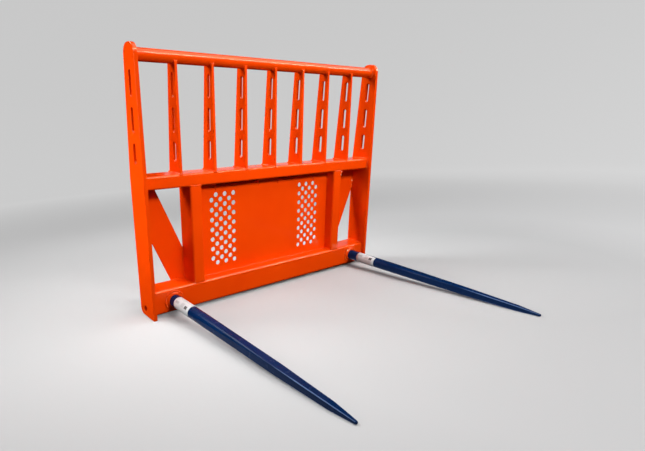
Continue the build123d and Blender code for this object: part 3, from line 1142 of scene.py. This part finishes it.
class BALESPEAR_OT_panel(bpy.types.Operator):
    """Perforated centre panel with eased holes and folded flaps"""

    bl_idname = "bale_spear.panel"
    bl_label = "Centre panel"

    def execute(self, context):
        ease_nodes(["centre_panel"], settings().edges.sheet, "frame_paint")
        return {"FINISHED"}


class BALESPEAR_OT_welds(bpy.types.Operator):
    """Weld beads along every seam of the frame"""

    bl_idname = "bale_spear.welds"
    bl_label = "Weld beads"

    def execute(self, context):
        for name, (seams, scale) in WELDS.items():
            add_welds(name, seams(), scale)
        return {"FINISHED"}


class BALESPEAR_OT_tines(bpy.types.Operator):
    """Both tines, with their threads"""

    bl_idname = "bale_spear.tines"
    bl_label = "Tines"

    def execute(self, context):
        thread = settings().thread
        for side in SIDES:
            add_piece(f"tine_{side}_finished", tine_mesh(f"tine_{side}"), "tine_paint", f"tine_{side}")
            low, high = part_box(f"tine_{side}")
            nut_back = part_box(f"tine_nut_{side}")[1][1]
            start = nut_back - thread.pitch
            length = high[1] - THREAD_RUN_OUT * thread.depth - start
            values = {
                "Radius": THREAD_RADIUS - THREAD_SINK * thread.depth,
                "Depth": thread.depth,
                "Length": length,
                "Turns": length / thread.pitch,
                "Place": ((low[0] + high[0]) / 2, start, (low[2] + high[2]) / 2),
                "Paint": finish("tine_paint"),
            }
            name = f"tine_{side}_thread"
            mesh = run_tree(name, bpy.data.meshes.new(name), thread_tree(), values)
            add_piece(name, mesh, "tine_paint")
        return {"FINISHED"}


class BALESPEAR_OT_fixings(bpy.types.Operator):
    """Nuts and washers that draw the tines into their sockets"""

    bl_idname = "bale_spear.fixings"
    bl_label = "Nuts and washers"

    def execute(self, context):
        ease_nodes(node_names("tine_nut_", "tine_washer_"), settings().edges.fixing, "zinc_plate")
        return {"FINISHED"}


class BALESPEAR_OT_labels(bpy.types.Operator):
    """Plain wrap labels on the tines"""

    bl_idname = "bale_spear.labels"
    bl_label = "Wrap labels"

    def execute(self, context):
        for side in SIDES:
            node = f"tine_label_{side}"
            add_piece(f"{node}_film", label_mesh(node), "label_wrap", node)
        return {"FINISHED"}


class BALESPEAR_OT_stage(bpy.types.Operator):
    """Pale studio floor, soft lights and the camera"""

    bl_idname = "bale_spear.stage"
    bl_label = "Stage"

    def execute(self, context):
        stage = settings().stage
        mesh = cove_mesh()
        mesh.materials.append(studio_paper())
        floor = link("studio_floor", mesh)
        floor.visible_glossy = False
        floor.visible_diffuse = False
        for name in LIGHTS:
            add_light(name, getattr(stage, f"{name}_power"))
        world = bpy.data.worlds.new("studio_room")
        world.use_nodes = True
        background = world.node_tree.nodes["Background"]
        background.inputs["Color"].default_value = (*ROOM_COLOUR, 1.0)
        background.inputs["Strength"].default_value = stage.sky
        context.scene.world = world
        world.cycles_visibility.glossy = False
        context.scene.view_settings.view_transform = "Standard"
        add_camera()
        return {"FINISHED"}


class BALESPEAR_PT_panel(bpy.types.Panel):
    """Steps and settings of the bale spear"""

    bl_idname = "BALESPEAR_PT_panel"
    bl_label = "Bale spear"
    bl_space_type = "VIEW_3D"
    bl_region_type = "UI"
    bl_category = "Bale spear"

    def draw(self, context):
        for step in STEPS:
            self.layout.operator(step.bl_idname)
        spear = context.scene.bale_spear
        for title, group in spear.bl_rna.properties.items():
            if group.type == "POINTER" and title != "rna_type":
                box = self.layout.box()
                box.label(text=title.capitalize())
                values = getattr(spear, title)
                for name in values.__annotations__:
                    box.prop(values, name)


STEPS = (
    BALESPEAR_OT_plates,
    BALESPEAR_OT_sections,
    BALESPEAR_OT_panel,
    BALESPEAR_OT_welds,
    BALESPEAR_OT_tines,
    BALESPEAR_OT_fixings,
    BALESPEAR_OT_labels,
    BALESPEAR_OT_stage,
)
GROUPS = (EdgeSettings, WeldSettings, ThreadSettings, FinishSettings, StageSettings, SpearSettings)
CLASSES = GROUPS + STEPS + (BALESPEAR_PT_panel,)


def register():
    """Add the classes and the scene's settings."""
    for item in CLASSES:
        bpy.utils.register_class(item)
    bpy.types.Scene.bale_spear = PointerProperty(type=SpearSettings)


def unregister():
    """Take the classes and the scene's settings away again."""
    del bpy.types.Scene.bale_spear
    for item in reversed(CLASSES):
        bpy.utils.unregister_class(item)


def main():
    """Register the add-on, finish the part piece by piece and set the stage."""
    register()
    bpy.ops.bale_spear.plates()
    bpy.ops.bale_spear.sections()
    bpy.ops.bale_spear.panel()
    bpy.ops.bale_spear.welds()
    bpy.ops.bale_spear.tines()
    bpy.ops.bale_spear.fixings()
    bpy.ops.bale_spear.labels()
    bpy.ops.bale_spear.stage()


if __name__ == "__main__":
    main()
